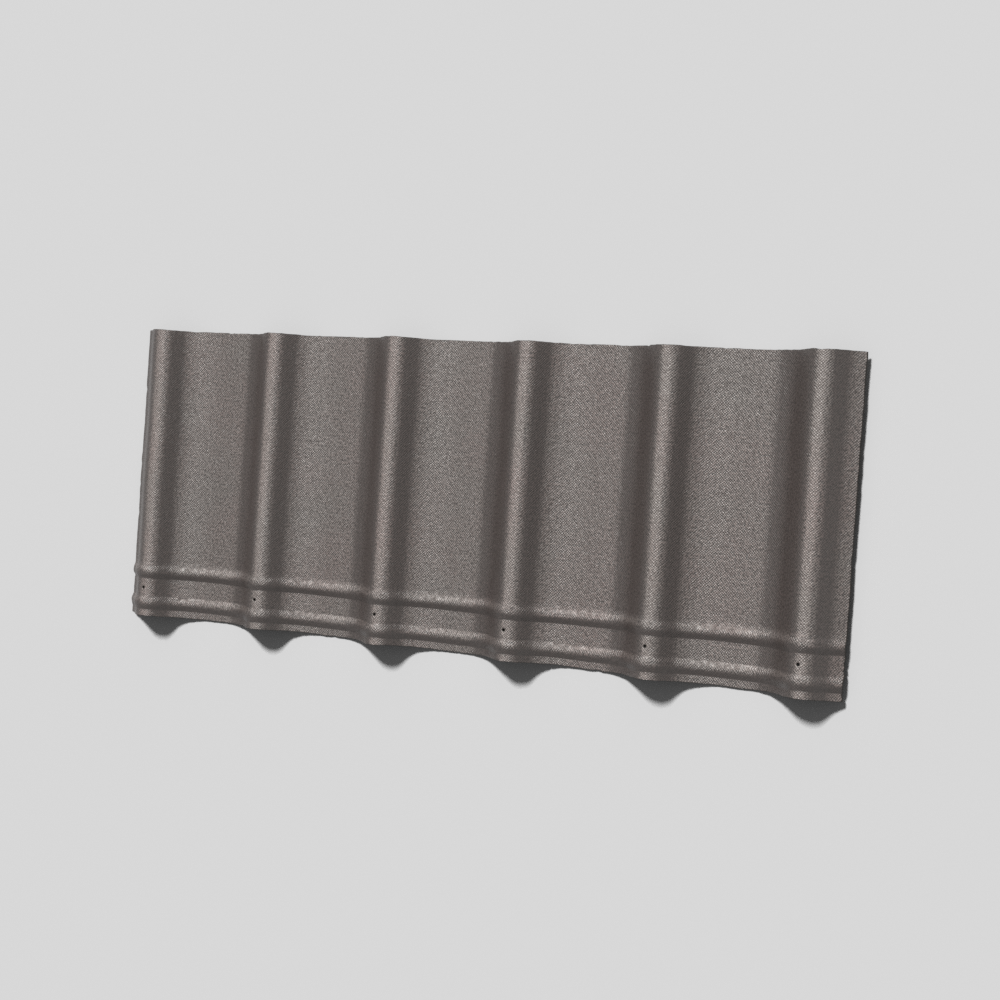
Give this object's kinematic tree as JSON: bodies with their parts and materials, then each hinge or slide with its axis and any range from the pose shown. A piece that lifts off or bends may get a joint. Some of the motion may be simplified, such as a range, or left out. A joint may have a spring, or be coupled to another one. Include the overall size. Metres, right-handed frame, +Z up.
{
  "type": "corrugated asphalt roofing sheet",
  "caption": "Short corrugated roofing sheet of bitumen-soaked fibre, pressed with rounded waves and, near its lower edge, low cross ribs with a line of pierced fixing holes between them.",
  "frame": {"origin": "middle of the sheet's width and length, on the level that the undersides of its pans lie on", "axes": "+X across the waves, +Y up the slope of the roof, +Z up out of the weather face"},
  "size_m": [1.06, 0.4, 0.0442],
  "materials": {
    "bitumen_fibre": "satin coated face with a fine woven emboss, raw fibre edges"
  },
  "bodies": {
    "root": {"roofing_sheet": "bitumen_fibre"}
  },
  "joints": []
}
